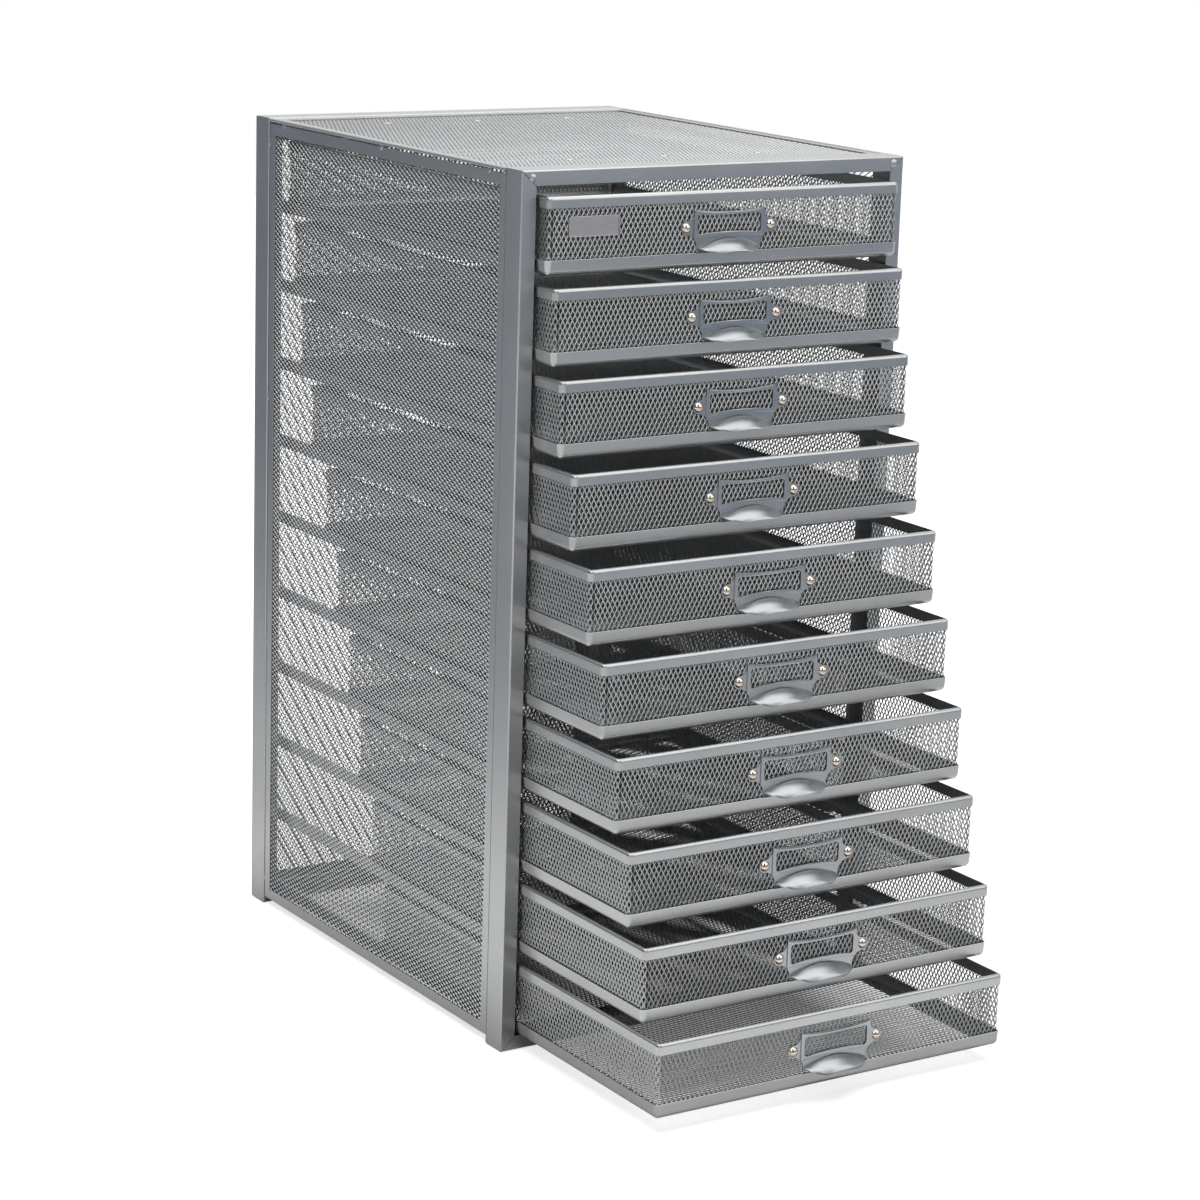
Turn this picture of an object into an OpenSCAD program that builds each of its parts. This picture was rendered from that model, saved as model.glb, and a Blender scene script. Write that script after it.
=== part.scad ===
// Desktop mini drawers: a free-standing cabinet of welded steel tube, flat strip and expanded
// mesh, with a stack of shallow mesh drawers that slide on L-shaped runners.
// Millimetres. X runs along the width, Y from front to back and Z up.
// The origin is the middle of the face that the front frame stands on.

/* [Cabinet] */
// Overall width of the cabinet
cabinet_w = 280; // [240:1:340]
// Overall depth of the cabinet, both frames included
cabinet_d = 340; // [320:1:420]
// Height from one drawer to the next
drawer_pitch = 52.8; // [50:0.1:70]

/* [Frames] */
// Face width of a frame's posts
post_w = 10; // [8:0.5:16]
// Face height of a frame's top and bottom rails
rail_h = 9; // [8:0.5:14]
// Depth of the frame tube from front to back
tube_d = 18; // [14:0.5:26]
// Wall of the frame tube
tube_wall = 1.2; // [0.8:0.1:1.4]
// Radius on the two lower edges of a frame
foot_r = 2.5; // [1.6:0.1:3.5]

/* [Panels] */
// Width of the flat strips around a mesh panel
strip_w = 8; // [5:0.5:12]
// Thickness of the flat strips
strip_t = 1; // [0.8:0.1:1.4]
// Thickness of the expanded mesh
mesh_t = 0.5; // [0.4:0.05:0.8]
// Distance between the plain openings that stand for the expanded mesh's fine diamonds
mesh_pitch = 20; // [20:1:30]
// Width of the bars left between those openings
mesh_bar = 4; // [3:0.5:6]
// Gap between a panel's edge and the piece beside it, bridged by the tack welds
panel_gap = 0.7; // [0.3:0.1:0.9]
// Step from a frame's outer face down to a panel's outer face
panel_inset = 0.6; // [0.3:0.1:1]
// Height of the side panels' lower edge above the ground
side_lift = 5; // [3:0.5:8]
// Step from a frame's rear face forward to the back panel
back_inset = 3; // [1:0.5:4]
// Radius of the rolled edge along both sides of the top panel
roll_r = 1.2; // [1:0.1:1.4]
// Width of the flat braces under the top panel
brace_w = 15; // [8:1:25]
// Distance from the top panel's front and rear edges to its braces
brace_inset = 38; // [20:1:80]
// Radius of a tack weld's bead
tack_r = 1.1; // [0.9:0.1:1.1]
// Length of a tack weld on the strip
tack_len = 2; // [1:0.5:4]
// Distance from a panel's corners to its nearest tack welds
tack_inset = 15; // [8:1:30]

/* [Runners] */
// Thickness of a runner
runner_t = 1; // [0.8:0.1:1.4]
// Width of the runner's ledge under a drawer
ledge_w = 13; // [8:0.5:20]
// Height of a runner's upright above the foot of its drawer
runner_rise = 7; // [4:0.5:12]
// Clearance between a ledge and the foot of its drawer
slide_gap = 0.3; // [0.2:0.05:0.5]

/* [Drawers] */
// Clearance between a drawer and a post on each side
side_gap = 1; // [0.5:0.1:2]
// Clearance between the lowest drawer and the bottom rail
floor_gap = 0.7; // [0.4:0.1:2]
// Height left free between two drawers
drawer_gap = 6.1; // [5:0.1:10]
// Distance from a closed drawer's rear to the rear of the cabinet
rear_gap = 10; // [7:0.5:30]
// Outer radius of a drawer's upright corners
corner_r = 5; // [4:0.5:12]
// Height of the folded rim around a drawer's top
rim_h = 7; // [4:0.5:9]
// Thickness of the rim's sheet
rim_t = 0.5; // [0.3:0.05:0.7]
// Height of the band around a drawer's foot
band_h = 9.3; // [6:0.1:11]
// Thickness of the band's sheet
band_t = 0.8; // [0.6:0.1:1.2]
// Width of the band's turned-in flange under the mesh floor
band_fold = 8; // [4:0.5:12]
// Clearance between the mesh and the strips folded around it
fold_gap = 0.1; // [0.05:0.05:0.2]

/* [Pull] */
// Thickness of the pull's sheet
pull_t = 0.8; // [0.6:0.1:1]
// Half width of the label holder
holder_half_w = 26; // [22:0.5:32]
// Clear height from the label holder's top corners to the drawer's rim
holder_clear = 4.2; // [2:0.1:6]
// Height of the label holder's lower edge above the pull's foot
holder_lift = 6.5; // [6:0.1:8]
// Sag of the holder's top edge at its middle
holder_sag = 1.8; // [0.8:0.1:2.5]
// Width of the holder's border around its window
holder_border = 2.8; // [2:0.1:3.5]
// Corner radius of the window
window_r = 2; // [0.8:0.1:2.4]
// Depth of the slot that a label slides into
label_slot = 0.7; // [0.4:0.1:1]
// Distance from the label holder's side to the middle of a rivet
ear_reach = 5; // [4.5:0.1:9]
// Rise of the rivets above the middle of the pull's height
ear_rise = 1; // [0:0.1:2]
// Radius of the rounded ears around the rivets
ear_r = 4; // [3.5:0.1:5]
// Step in from the label holder's side to the pull's lower corner
foot_taper = 2.5; // [1:0.1:5]
// Clear height from the drawer's band to the pull's lower corners
pull_clear = 2.2; // [1:0.1:3]
// Step in from the pull's lower corner to the end of the finger cup
cup_margin = 1; // [0.5:0.1:4]
// Reach of the finger cup in front of the plate
cup_reach = 12.5; // [8:0.5:16]
// Step down from the label holder to the crown of the cup
cup_step = 0.5; // [0.3:0.1:2]
// Drop of the cup's lip below the pull's foot
cup_drop = 2; // [0:0.1:3]
// Bulge of the cup's skin over a straight slope
cup_bulge = 1.6; // [0.8:0.1:2.2]

/* [Rivets] */
// Diameter of a rivet's domed head
rivet_head_d = 6.5; // [5:0.1:7]
// Height of a rivet's domed head
rivet_head_h = 2; // [1.2:0.1:2.5]
// Diameter of a rivet's shank
rivet_shank_d = 3.2; // [2.4:0.1:4]
// Clearance between a shank and the holes it passes through
rivet_clear = 0.1; // [0.05:0.05:0.2]
// Diameter of the clenched tail inside the drawer
rivet_tail_d = 5.4; // [4.6:0.1:6]
// Thickness of the clenched tail
rivet_tail_h = 0.8; // [0.5:0.1:1.2]

/* [Name plate] */
// Width of the blank name plate
name_w = 35.4; // [20:0.2:45]
// Height of the blank name plate
name_h = 12.2; // [8:0.2:14]
// Thickness of the name plate
name_t = 0.6; // [0.4:0.1:1]
// Width and height of the raised line around the name plate
name_edge = 0.4; // [0.2:0.1:0.8]
// Corner radius of the name plate
name_r = 1.5; // [1:0.1:2.5]
// Distance from the drawer's side to the name plate
name_margin = 14.6; // [8:0.1:40]
// Clear height from the name plate to the drawer's rim
name_clear = 4.9; // [2:0.1:8]

/* [Hidden] */
$fn = 48;
EPS = 0.01;

// How far each drawer stands open at rest, from the top drawer to the lowest
DRAWER_OPEN = [12, 21.5, 32, 48, 69, 86, 104, 120, 139, 157];
DRAWER_COUNT = len(DRAWER_OPEN);
POST_TACKS = 4;
EDGE_TACKS = 3;
MOST_OPENINGS = 10;
CUP_STEPS = 8;

opening_w = cabinet_w - 2 * post_w;
opening_h = DRAWER_COUNT * drawer_pitch;
cabinet_h = opening_h + 2 * rail_h;
rear_mid_y = cabinet_d - tube_d;
bay_front_y = tube_d / 2;
bay_rear_y = rear_mid_y - tube_d / 2;
bay_mid_y = (bay_front_y + bay_rear_y) / 2;
panel_len = bay_rear_y - bay_front_y - 2 * panel_gap;
panel_x = cabinet_w / 2 - panel_inset;
panel_stack = strip_t + mesh_t;
side_top_z = cabinet_h - 2 * roll_r - fold_gap;
side_h = side_top_z - side_lift;
top_z = cabinet_h - roll_r + strip_t / 2;

drawer_w = opening_w - 2 * side_gap;
drawer_d = cabinet_d - rear_gap;
drawer_h = drawer_pitch - drawer_gap;
mesh_in = band_t + fold_gap;
slot_in = mesh_in + mesh_t + fold_gap;
rim_in = band_t - rim_t;
mesh_top = drawer_h - rim_t - fold_gap;
mesh_floor_z = band_t;

pull_foot = band_h + pull_clear;
holder_foot = pull_foot + holder_lift;
holder_top = drawer_h - rim_h - holder_clear;
holder_proud = label_slot + pull_t;
rivet_x = holder_half_w + ear_reach;
rivet_z = (pull_foot + holder_top) / 2 + ear_rise;
foot_half_w = holder_half_w - foot_taper;
cup_half_w = foot_half_w - cup_margin;
cup_crown = holder_foot - cup_step;
cup_lip = pull_foot - cup_drop;
cup_r = (pow(cup_half_w, 2) + pow(cup_reach, 2)) / (2 * cup_reach);
cup_back = cup_r - cup_reach;
name_x = drawer_w / 2 - name_margin - name_w / 2;
name_z = drawer_h - rim_h - name_clear - name_h / 2;

FRAME_GREY = "#8d9299";
STRIP_GREY = "#9ba0a6";
MESH_GREY = "#75797f";
PULL_SILVER = "#c2c7cb";
RIVET_NICKEL = "#d8d2c8";

// Height of a drawer's foot and the place of its front, drawer 1 being the top one
function drawer_z(i) = rail_h + floor_gap + (DRAWER_COUNT - i) * drawer_pitch;
function drawer_front(i) = -tube_d / 2 - DRAWER_OPEN[i - 1];

// Radius of an arc from its half chord and its rise
function arc_radius(half_chord, rise) = (pow(half_chord, 2) + pow(rise, 2)) / (2 * rise);

// Evenly spaced places for tack welds along an edge that starts at from
function tack_places(from, len, count) =
  [for (k = [0 : count - 1]) from + tack_inset + k * (len - 2 * tack_inset) / (count - 1)];

// ---------------------------------------------------------------- shared shapes

module rounded_rect(w, d, r) {
  square([w - 2 * r, d], center = true);
  square([w, d - 2 * r], center = true);
  for (x = [-1, 1], y = [-1, 1])
    translate([x * (w / 2 - r), y * (d / 2 - r)])
      circle(r);
}

// Puts what is drawn in a drawer's own frame at that drawer's place
module in_drawer(i) {
  translate([0, drawer_front(i), drawer_z(i)])
    children();
}

// Plan of a drawer, drawn in from its outer faces by inset
module tray_plan(inset) {
  translate([0, drawer_d / 2])
    rounded_rect(drawer_w - 2 * inset, drawer_d - 2 * inset, corner_r - inset);
}

// How many openings go along a length of mesh
function openings_along(len) = min(MOST_OPENINGS, max(1, round(len / mesh_pitch)));

// Plain grid of openings that fills w by d and stands for expanded mesh. Each column of openings
// that comes within half_kept of a place along w in kept is left uncut.
module mesh_openings(w, d, kept = [], half_kept = 0) {
  across = openings_along(w);
  down = openings_along(d);
  open_w = (w - (across - 1) * mesh_bar) / across;
  open_d = (d - (down - 1) * mesh_bar) / down;
  for (i = [0 : across - 1], j = [0 : down - 1])
    let (
      x = (i + 0.5) * open_w + i * mesh_bar - w / 2,
      y = (j + 0.5) * open_d + j * mesh_bar - d / 2)
      if (len([for (k = kept) if (abs(x - k) < open_w / 2 + half_kept) k]) == 0)
        translate([x, y])
          square([open_w, open_d], center = true);
}

// Upright wall around a drawer between two insets and two heights
module tray_wall(outer_inset, inner_inset, z0, z1) {
  translate([0, 0, z0])
    linear_extrude(z1 - z0)
      difference() {
        tray_plan(outer_inset);
        tray_plan(inner_inset);
      }
}

// Stands a drawing on end: its X stays, its Y points up and it grows towards the front
module upright(y, thickness) {
  translate([0, y, 0])
    rotate([90, 0, 0])
      linear_extrude(thickness)
        children();
}

// ---------------------------------------------------------------- frames

// Front view of a frame, with its walls thinned by inset
module frame_face(inset) {
  difference() {
    translate([inset - cabinet_w / 2, inset])
      square([cabinet_w - 2 * inset, cabinet_h - 2 * inset]);
    translate([-opening_w / 2 - inset, rail_h - inset])
      square([opening_w + 2 * inset, opening_h + 2 * inset]);
  }
}

// Side view of a frame, with both lower edges rounded
module frame_side(inset) {
  half = tube_d / 2 - inset;
  r = foot_r - inset;
  translate([-half, foot_r])
    square([2 * half, cabinet_h - foot_r - inset]);
  translate([r - half, inset])
    square([2 * (half - r), foot_r]);
  for (side = [-1, 1])
    translate([side * (half - r), foot_r])
      circle(r);
}

module frame_block(inset) {
  intersection() {
    upright(tube_d / 2 - inset, tube_d - 2 * inset)
      frame_face(inset);
    rotate([90, 0, 90])
      linear_extrude(cabinet_w, center = true)
        frame_side(inset);
  }
}

module tube_frame() {
  color(FRAME_GREY)
    difference() {
      frame_block(0);
      frame_block(tube_wall);
    }
}

module rear_frame() {
  translate([0, rear_mid_y, 0])
    tube_frame();
}

// ---------------------------------------------------------------- panels

// Mesh sheet behind a frame of flat strips, with its outer face at z = 0 and its openings inside them
module mesh_panel(w, d) {
  translate([0, 0, -strip_t])
    linear_extrude(strip_t)
      difference() {
        square([w, d], center = true);
        square([w - 2 * strip_w, d - 2 * strip_w], center = true);
      }
  translate([0, 0, -panel_stack])
    linear_extrude(mesh_t)
      difference() {
        square([w, d], center = true);
        mesh_openings(w - 2 * strip_w, d - 2 * strip_w);
      }
}

// Tack weld along Y that reaches from a frame's face onto a strip
module tack(x, y, z, towards) {
  translate([x, y, z])
    rotate([-90 * towards, 0, 0])
      cylinder(r = tack_r, h = panel_gap + tack_len);
}

module side_panel() {
  color(STRIP_GREY) {
    translate([panel_x, bay_mid_y, side_lift + side_h / 2])
      rotate([90, 0, 90])
        mesh_panel(panel_len, side_h);
    for (z = tack_places(side_lift, side_h, POST_TACKS)) {
      tack(cabinet_w / 2 - tack_r, bay_front_y, z, 1);
      tack(cabinet_w / 2 - tack_r, bay_rear_y, z, -1);
    }
  }
}

module left_side_panel() {
  mirror([1, 0, 0])
    side_panel();
}

module top_panel() {
  panel_w = cabinet_w - 2 * roll_r;
  brace_z = top_z - panel_stack - strip_t / 2;
  color(STRIP_GREY) {
    translate([0, bay_mid_y, top_z])
      mesh_panel(panel_w, panel_len);
    for (side = [-1, 1])
      translate([side * panel_w / 2, bay_mid_y, cabinet_h - roll_r])
        rotate([90, 0, 0])
          cylinder(r = roll_r, h = panel_len, center = true);
    for (end = [-1, 1])
      translate([0, bay_mid_y + end * (panel_len / 2 - brace_inset), brace_z])
        cube([2 * (panel_x - panel_stack - fold_gap), brace_w, strip_t], center = true);
    for (x = tack_places(-panel_w / 2, panel_w, EDGE_TACKS)) {
      tack(x, bay_front_y, cabinet_h - tack_r, 1);
      tack(x, bay_rear_y, cabinet_h - tack_r, -1);
    }
  }
}

module bottom_panel() {
  bottom_z = side_lift - strip_t;
  bottom_w = 2 * (panel_x - panel_stack - fold_gap);
  color(STRIP_GREY) {
    translate([0, bay_mid_y, bottom_z])
      mirror([0, 0, 1])
        mesh_panel(bottom_w, panel_len);
    for (x = tack_places(-bottom_w / 2, bottom_w, EDGE_TACKS)) {
      tack(x, bay_front_y, bottom_z + strip_t / 2, 1);
      tack(x, bay_rear_y, bottom_z + strip_t / 2, -1);
    }
  }
}

module back_panel() {
  back_clear = panel_gap / 2;
  color(STRIP_GREY)
    translate([0, rear_mid_y + tube_d / 2 - back_inset, rail_h + opening_h / 2])
      rotate([90, 0, 180])
        mesh_panel(opening_w - 2 * back_clear, opening_h - 2 * back_clear);
}

// ---------------------------------------------------------------- runners

// L-shaped runner on the right, seen from the front, for a drawer whose foot is at z = 0
module runner_section() {
  ledge_top = -slide_gap;
  translate([opening_w / 2 + runner_t - ledge_w, ledge_top - runner_t])
    square([ledge_w, runner_t]);
  translate([opening_w / 2, ledge_top - runner_t])
    square([runner_t, runner_rise - ledge_top + runner_t]);
}

module right_runners() {
  color(FRAME_GREY)
    for (i = [1 : DRAWER_COUNT])
      translate([0, 0, drawer_z(i)])
        upright(bay_rear_y, bay_rear_y - bay_front_y)
          runner_section();
}

module left_runners() {
  mirror([1, 0, 0])
    right_runners();
}

// ---------------------------------------------------------------- drawers

module rivet_holes() {
  for (side = [-1, 1])
    translate([side * rivet_x, mesh_in - holder_proud, rivet_z])
      rotate([-90, 0, 0])
        cylinder(r = rivet_shank_d / 2 + rivet_clear, h = holder_proud + mesh_t + EPS);
}

// Openings in the four walls of the mesh, between the band and the rim and clear of the rivets
module wall_openings() {
  wall_h = drawer_h - rim_h - band_h;
  half_seat = max(rivet_head_d, rivet_tail_d) / 2 + fold_gap;
  translate([0, 0, band_h + wall_h / 2]) {
    upright(slot_in, slot_in)
      mesh_openings(drawer_w - 2 * corner_r, wall_h, [-rivet_x, rivet_x], half_seat);
    upright(drawer_d, slot_in)
      mesh_openings(drawer_w - 2 * corner_r, wall_h);
    for (x = [-drawer_w / 2, drawer_w / 2 - slot_in])
      translate([x, drawer_d / 2, 0])
        rotate([90, 0, 90])
          linear_extrude(slot_in)
            mesh_openings(drawer_d - 2 * corner_r, wall_h);
  }
}

// Five-sided mesh tray with the two rivet holes in its front
module basket() {
  color(MESH_GREY)
    difference() {
      union() {
        difference() {
          tray_wall(mesh_in, mesh_in + mesh_t, mesh_floor_z, mesh_top);
          wall_openings();
        }
        translate([0, 0, mesh_floor_z])
          linear_extrude(mesh_t)
            difference() {
              tray_plan(mesh_in);
              translate([0, drawer_d / 2])
                mesh_openings(drawer_w - 2 * band_fold, drawer_d - 2 * band_fold);
            }
      }
      rivet_holes();
    }
}

// Strip folded over the top edge of the mesh
module top_rim() {
  color(STRIP_GREY)
    difference() {
      tray_wall(rim_in, slot_in + rim_t, drawer_h - rim_h, drawer_h);
      tray_wall(rim_in + rim_t, slot_in, drawer_h - rim_h - EPS, drawer_h - rim_t);
    }
}

// Band around the foot of the walls, turned in under the mesh floor
module bottom_band() {
  color(STRIP_GREY) {
    tray_wall(0, band_t, 0, band_h);
    linear_extrude(band_t)
      difference() {
        tray_plan(0);
        translate([0, drawer_d / 2])
          square([drawer_w - 2 * band_fold, drawer_d - 2 * band_fold], center = true);
      }
  }
}

// Outline of the pull: a label holder above, an ear at each rivet and two lower corners
module pull_outline() {
  upper_x = rivet_x - holder_half_w;
  upper_z = holder_top - rivet_z - ear_r;
  lower_x = rivet_x - foot_half_w;
  lower_z = rivet_z - ear_r - pull_foot;
  upper_flare = arc_radius(upper_x, upper_z);
  lower_flare = arc_radius(lower_x, lower_z);
  top_arc = arc_radius(holder_half_w, holder_sag);
  difference() {
    union() {
      polygon([
        [-holder_half_w, holder_top], [holder_half_w, holder_top],
        [rivet_x, rivet_z + ear_r], [rivet_x, rivet_z - ear_r],
        [foot_half_w, pull_foot], [-foot_half_w, pull_foot],
        [-rivet_x, rivet_z - ear_r], [-rivet_x, rivet_z + ear_r]]);
      for (side = [-1, 1])
        translate([side * rivet_x, rivet_z])
          circle(ear_r);
    }
    for (side = [-1, 1]) {
      translate([side * rivet_x, rivet_z + ear_r + upper_flare])
        circle(upper_flare);
      translate([side * rivet_x, rivet_z - ear_r - lower_flare])
        circle(lower_flare);
    }
    translate([0, holder_top - holder_sag + top_arc])
      circle(top_arc, $fn = 360);
  }
}

// Area of the raised label holder, drawn in by inset
module holder_area(inset) {
  intersection() {
    pull_outline();
    translate([inset - holder_half_w, holder_foot + inset])
      square([2 * (holder_half_w - inset), holder_top - holder_sag - holder_foot - 2 * inset]);
  }
}

// Skin of the finger cup, turned about an upright axis behind the plate
module cup_skin() {
  run = cup_r - cup_back;
  drop = cup_crown - cup_lip;
  outer = [for (k = [0 : CUP_STEPS])
    let (s = k / CUP_STEPS)
    [cup_back + run * s, cup_crown - drop * s + cup_bulge * sin(180 * s)]];
  inner = [for (k = [CUP_STEPS : -1 : 0]) outer[k] - [0, pull_t]];
  translate([0, mesh_in - pull_t + cup_back, 0])
    rotate_extrude($fn = 96)
      polygon(concat(
        [[cup_back - pull_t, cup_crown - pull_t], [cup_back - pull_t, cup_crown]],
        outer, inner));
}

// Pressed plate with the label holder raised from it and the cup bent out of it
module pull() {
  window_h = holder_top - holder_sag - holder_foot - 2 * holder_border;
  color(PULL_SILVER)
    difference() {
      union() {
        upright(mesh_in, pull_t)
          pull_outline();
        upright(mesh_in, holder_proud)
          holder_area(0);
        intersection() {
          cup_skin();
          translate([-cup_r, mesh_in - pull_t - cup_reach, 0])
            cube([2 * cup_r, cup_reach + pull_t / 2, drawer_h]);
        }
      }
      // slot for the label, between the mesh and the raised holder
      upright(mesh_in + EPS, label_slot + EPS)
        holder_area(pull_t);
      // window in front of the label
      upright(mesh_in, holder_proud + EPS)
        translate([0, holder_foot + holder_border + window_h / 2])
          rounded_rect(2 * (holder_half_w - holder_border), window_h, window_r);
      rivet_holes();
    }
}

// Two dome-headed rivets, clenched inside the drawer
module rivets() {
  head_y = mesh_in - pull_t;
  tail_y = mesh_in + mesh_t;
  dome_r = arc_radius(rivet_head_d / 2, rivet_head_h);
  color(RIVET_NICKEL)
    for (side = [-1, 1])
      translate([side * rivet_x, head_y, rivet_z])
        rotate([90, 0, 0]) {
          intersection() {
            translate([0, 0, rivet_head_h - dome_r])
              sphere(dome_r);
            cylinder(d = rivet_head_d, h = rivet_head_h);
          }
          translate([0, 0, head_y - tail_y])
            cylinder(d = rivet_shank_d, h = tail_y - head_y);
          translate([0, 0, head_y - tail_y - rivet_tail_h])
            cylinder(d = rivet_tail_d, h = rivet_tail_h);
        }
}

// Blank plate with a thin raised line around it
module name_plate() {
  color(STRIP_GREY)
    in_drawer(1)
      translate([-name_x, 0, name_z]) {
        upright(mesh_in, name_t)
          rounded_rect(name_w, name_h, name_r);
        upright(mesh_in, name_t + name_edge)
          difference() {
            rounded_rect(name_w, name_h, name_r);
            rounded_rect(name_w - 2 * name_edge, name_h - 2 * name_edge, name_r - name_edge);
          }
      }
}

// ---------------------------------------------------------------- the whole part

tube_frame();  // front_frame
rear_frame();
left_side_panel();
side_panel();  // right_side_panel
top_panel();
bottom_panel();
back_panel();
left_runners();
right_runners();
name_plate();
for (i = [1 : DRAWER_COUNT]) {
  in_drawer(i) basket();
  in_drawer(i) top_rim();
  in_drawer(i) bottom_band();
  in_drawer(i) pull();
  in_drawer(i) rivets();
}
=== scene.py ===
"""Looks of the desktop mini drawers: coated steel tube and strip, expanded mesh, plated pulls.

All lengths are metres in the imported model's frame: X to the right, Y from front to back, Z up.
"""

import math

import bmesh
import bpy
from mathutils import Matrix, Vector


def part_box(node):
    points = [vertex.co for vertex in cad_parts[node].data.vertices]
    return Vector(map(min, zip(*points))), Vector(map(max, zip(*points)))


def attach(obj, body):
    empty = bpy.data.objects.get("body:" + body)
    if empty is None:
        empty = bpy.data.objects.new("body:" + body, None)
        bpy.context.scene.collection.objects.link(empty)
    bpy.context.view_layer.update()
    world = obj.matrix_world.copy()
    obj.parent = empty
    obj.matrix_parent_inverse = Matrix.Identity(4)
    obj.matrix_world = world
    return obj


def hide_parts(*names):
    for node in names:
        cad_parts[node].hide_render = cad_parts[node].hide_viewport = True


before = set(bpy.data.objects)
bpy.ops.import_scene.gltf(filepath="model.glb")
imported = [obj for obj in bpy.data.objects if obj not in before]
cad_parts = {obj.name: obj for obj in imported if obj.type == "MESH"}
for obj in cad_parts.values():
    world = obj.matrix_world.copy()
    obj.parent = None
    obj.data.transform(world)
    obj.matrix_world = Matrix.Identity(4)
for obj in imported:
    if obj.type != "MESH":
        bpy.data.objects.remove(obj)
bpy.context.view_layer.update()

MM = 0.001
DRAWERS = range(1, 11)

# ---------------------------------- sizes of the made pieces

# Diamond of the expanded mesh: across its short way, along its long way. The top's is slimmer.
DIAMOND = (3.33 * MM, 6.0 * MM)
TOP_DIAMOND = (3.0 * MM, 6.25 * MM)

# Each weave: its diamond, whether the long way is up, the strands' width, then their tip across
# the long way and the twist of their ends in degrees
SIDE_WEAVE = (DIAMOND, False, 0.95 * MM, -58, 2)
TOP_WEAVE = (TOP_DIAMOND, True, 0.95 * MM, -12, 22)
BACK_WEAVE = (DIAMOND, True, 0.75 * MM, -20, 10)
FRONT_WEAVE = (DIAMOND, True, 0.68 * MM, -40, 8)
WALL_WEAVE = (DIAMOND, True, 1.0 * MM, 0, 8)
FLOOR_WEAVE = (DIAMOND, True, 1.0 * MM, 62, 8)

# Half a strand's length, where 0.5 would only just reach the next one
STRAND_HALF = 0.56

STRIP_WIDTH = 7.2 * MM
STRIP_THICK = 1 * MM
STRIP_EDGE = 0.25 * MM
MESH_TUCK = 1.5 * MM
TUBE_EDGE = 0.9 * MM
SEAM_HALF = 0.3 * MM
SEAM_DEPTH = 0.5 * MM
ROLL_RADIUS = 1.2 * MM
BRACE_WIDTH = 15 * MM
BRACE_INSET = 38 * MM

# Drawer: its corner radius, then the rim's step in from the band, thickness over the fold and
# radius of the fold, the nick along both strips' edges, and the band's thickness, reach under the
# floor, start of its ledge, radius of its foot and lean
DRAWER_CORNER = 3.6 * MM
RIM_STEP = 0.3 * MM
RIM_THICK = 2.2 * MM
RIM_FOLD = 2.1 * MM
STRIP_NICK = 0.15 * MM
BAND_THICK = 0.8 * MM
BAND_FOLD = 8 * MM
BAND_LEDGE = 3.2 * MM
BAND_ROLL = 3.6 * MM
BAND_LEAN = 0.4 * MM

# Wall mesh: depth behind the band's face and height of its foot. Floor mesh: inset and rise over
# the band. Both stay clear of the band's rolled foot.
MESH_DEPTH = 1.15 * MM
WALL_FOOT = 2.8 * MM
FLOOR_INSET = 2.6 * MM
FLOOR_RISE = 0.5 * MM


# ---------------------------------- camera

CAMERA_PLACE = Vector((-1.1501, -1.6568, 0.7589))
CAMERA_YAW = math.radians(33.08)
CAMERA_PITCH = math.radians(13.62)
CAMERA_ROLL = math.radians(1.80)
CAMERA_LENS = 99.41


def linked(name, data):
    """New object in the scene that holds data."""
    made = bpy.data.objects.new(name, data)
    bpy.context.scene.collection.objects.link(made)
    return made


def make_camera():
    """Camera from its place, its turn from +Y towards +X, its dip and its roll."""
    ahead = Vector((
        math.sin(CAMERA_YAW) * math.cos(CAMERA_PITCH),
        math.cos(CAMERA_YAW) * math.cos(CAMERA_PITCH),
        -math.sin(CAMERA_PITCH),
    ))
    level = Vector((math.cos(CAMERA_YAW), -math.sin(CAMERA_YAW), 0))
    above = level.cross(ahead)
    right = math.cos(CAMERA_ROLL) * level + math.sin(CAMERA_ROLL) * above
    up = math.cos(CAMERA_ROLL) * above - math.sin(CAMERA_ROLL) * level
    data = bpy.data.cameras.new("camera")
    data.lens = CAMERA_LENS
    data.clip_end = 50
    camera = linked("camera", data)
    turn = Matrix((right, up, -ahead)).transposed().to_4x4()
    camera.matrix_world = Matrix.Translation(CAMERA_PLACE) @ turn
    bpy.context.scene.camera = camera


make_camera()

# ---------------------------------- node and colour helpers

MATH = "ShaderNodeMath"
VECTOR_MATH = "ShaderNodeVectorMath"
MAP_RANGE = "ShaderNodeMapRange"


def add(tree, kind, links=(), **settings):
    """Adds one node with its settings and links.

    links holds what the inputs take in their order, or maps their names or numbers to it: a value,
    another node's output, or a node, which stands for its first output.
    """
    node = tree.nodes.new(kind)
    for key, value in settings.items():
        setattr(node, key, value)
    for key, value in links.items() if isinstance(links, dict) else enumerate(links):
        if isinstance(value, bpy.types.Node):
            value = value.outputs[0]
        if isinstance(value, bpy.types.NodeSocket):
            tree.links.new(value, node.inputs[key])
        else:
            node.inputs[key].default_value = value
    return node


def srgb(code):
    """Linear colour with alpha from an sRGB hex code such as 8d9299."""
    parts = [int(code[k:k + 2], 16) / 255 for k in (0, 2, 4)]
    linear = [p / 12.92 if p <= 0.04045 else ((p + 0.055) / 1.055) ** 2.4 for p in parts]
    return (*linear, 1)


def emptied(owner):
    """Node tree of a material or a world, without the nodes that it starts with."""
    owner.use_nodes = True
    owner.node_tree.nodes.clear()
    return owner.node_tree


def new_material(name):
    """Material with a Principled surface; returns it, its tree and the shader."""
    material = bpy.data.materials.new(name)
    tree = emptied(material)
    shader = add(tree, "ShaderNodeBsdfPrincipled")
    add(tree, "ShaderNodeOutputMaterial", {"Surface": shader})
    return material, tree, shader


# ---------------------------------- materials


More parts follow.
